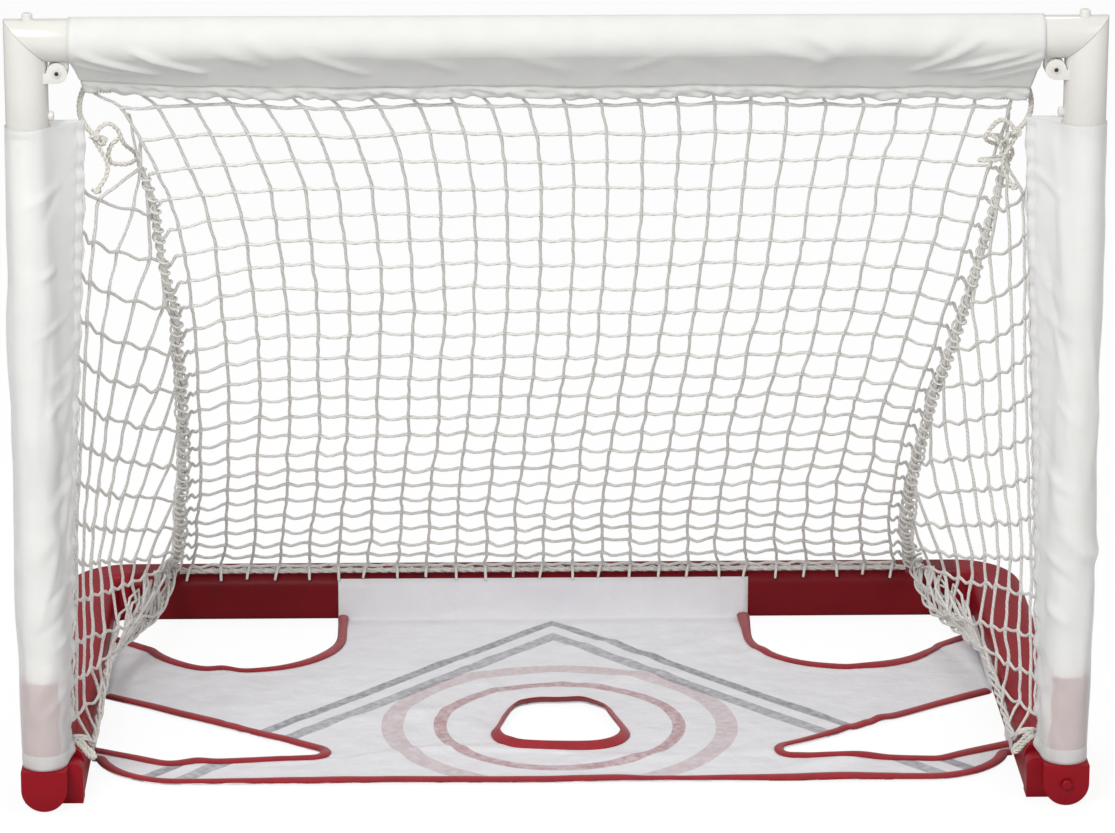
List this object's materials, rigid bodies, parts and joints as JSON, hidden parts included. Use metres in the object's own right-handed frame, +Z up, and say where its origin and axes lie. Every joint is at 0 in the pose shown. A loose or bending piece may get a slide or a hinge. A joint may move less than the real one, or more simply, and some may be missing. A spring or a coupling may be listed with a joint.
{
  "type": "hockey goal net",
  "caption": "Small folding hockey goal: sleeved tube frame with hinged elbows, moulded U base, draped square-mesh cord net and a cloth floor target with a hole.",
  "frame": {"origin": "floor point under the middle of the goal's bounding box", "axes": "+X to the right along the crossbar as a player sees it from the front, +Y back towards the back bar, +Z up"},
  "size_m": [0.917, 0.554, 0.695],
  "materials": {
    "white_plastic": "glossy moulded warm white",
    "tube_plastic": "plain white tube",
    "sleeve_cloth": "thin white woven polyester, slightly see-through",
    "target_cloth": "smooth white woven polyester with faint wrinkles",
    "red_tape": "dark red woven binding tape",
    "red_plastic": "glossy blow-moulded dark red",
    "net_cord": "braided off-white cord",
    "rope": "twisted white rope",
    "steel": "zinc plated"
  },
  "bodies": {
    "base": {"base_rail_left": "red_plastic", "base_rail_right": "red_plastic", "base_corner_left": "red_plastic", "base_corner_right": "red_plastic", "base_back_bar": "red_plastic", "rail_end_plug_left": "red_plastic", "rail_end_plug_right": "red_plastic", "target_cloth": "target_cloth", "target_binding": "red_tape", "target_hole_binding": "red_tape", "target_tab_left": "target_cloth", "target_tab_right": "target_cloth", "net_tie_left": "rope", "net_tie_right": "rope"},
    "frame": {"crossbar_tube": "tube_plastic", "crossbar_sleeve": "sleeve_cloth", "crossbar_net_flap": "sleeve_cloth", "elbow_bar_half_left": "white_plastic", "elbow_bar_half_right": "white_plastic", "elbow_hinge_pin_left": "steel", "elbow_hinge_pin_right": "steel", "latch_spring_left": "steel", "latch_spring_right": "steel", "net_back": "net_cord", "net_side_left": "net_cord", "net_side_right": "net_cord", "net_seam_left": "net_cord", "net_seam_right": "net_cord", "net_hem_cord": "net_cord"},
    "left_post": {"elbow_post_half_left": "white_plastic", "post_tube_left": "tube_plastic", "post_sleeve_left": "sleeve_cloth", "post_net_flap_left": "sleeve_cloth", "post_foot_left": "red_plastic", "post_snap_spring_left": "steel"},
    "right_post": {"elbow_post_half_right": "white_plastic", "post_tube_right": "tube_plastic", "post_sleeve_right": "sleeve_cloth", "post_net_flap_right": "sleeve_cloth", "post_foot_right": "red_plastic", "post_snap_spring_right": "steel", "foot_snap_spring": "steel"},
    "left_latch": {"latch_button_left": "white_plastic"},
    "right_latch": {"latch_button_right": "white_plastic"},
    "left_snap": {"post_snap_button_left": "steel"},
    "right_snap": {"post_snap_button_right": "steel"},
    "foot_snap": {"foot_snap_button": "steel"}
  },
  "joints": [
    {"name": "frame_lift", "type": "slide", "parent": "base", "child": "frame", "axis": [0, 0, 1], "range_m": [0, 0.06]},
    {"name": "left_fold", "type": "hinge", "parent": "frame", "child": "left_post", "pos_m": [-0.413, -0.253, 0.646], "axis": [0, -1, 0], "range_deg": [0, 90]},
    {"name": "right_fold", "type": "hinge", "parent": "frame", "child": "right_post", "pos_m": [0.413, -0.253, 0.646], "axis": [0, 1, 0], "range_deg": [0, 72]},
    {"name": "left_latch_press", "type": "slide", "parent": "frame", "child": "left_latch", "axis": [0, 0, -1], "range_m": [0, 0.002], "stiffness_N_per_m": 150, "springref_m": -0.002, "deforming": ["latch_spring_left"]},
    {"name": "right_latch_press", "type": "slide", "parent": "frame", "child": "right_latch", "axis": [0, 0, -1], "range_m": [0, 0.002], "stiffness_N_per_m": 150, "springref_m": -0.002, "deforming": ["latch_spring_right"]},
    {"name": "left_snap_press", "type": "slide", "parent": "left_post", "child": "left_snap", "axis": [-1, 0, 0], "range_m": [0, 0.004], "stiffness_N_per_m": 150, "springref_m": -0.002},
    {"name": "right_snap_press", "type": "slide", "parent": "right_post", "child": "right_snap", "axis": [1, 0, 0], "range_m": [0, 0.004], "stiffness_N_per_m": 150, "springref_m": -0.002},
    {"name": "foot_snap_press", "type": "slide", "parent": "right_post", "child": "foot_snap", "axis": [0, 1, 0], "range_m": [0, 0.004], "stiffness_N_per_m": 150, "springref_m": -0.002}
  ]
}
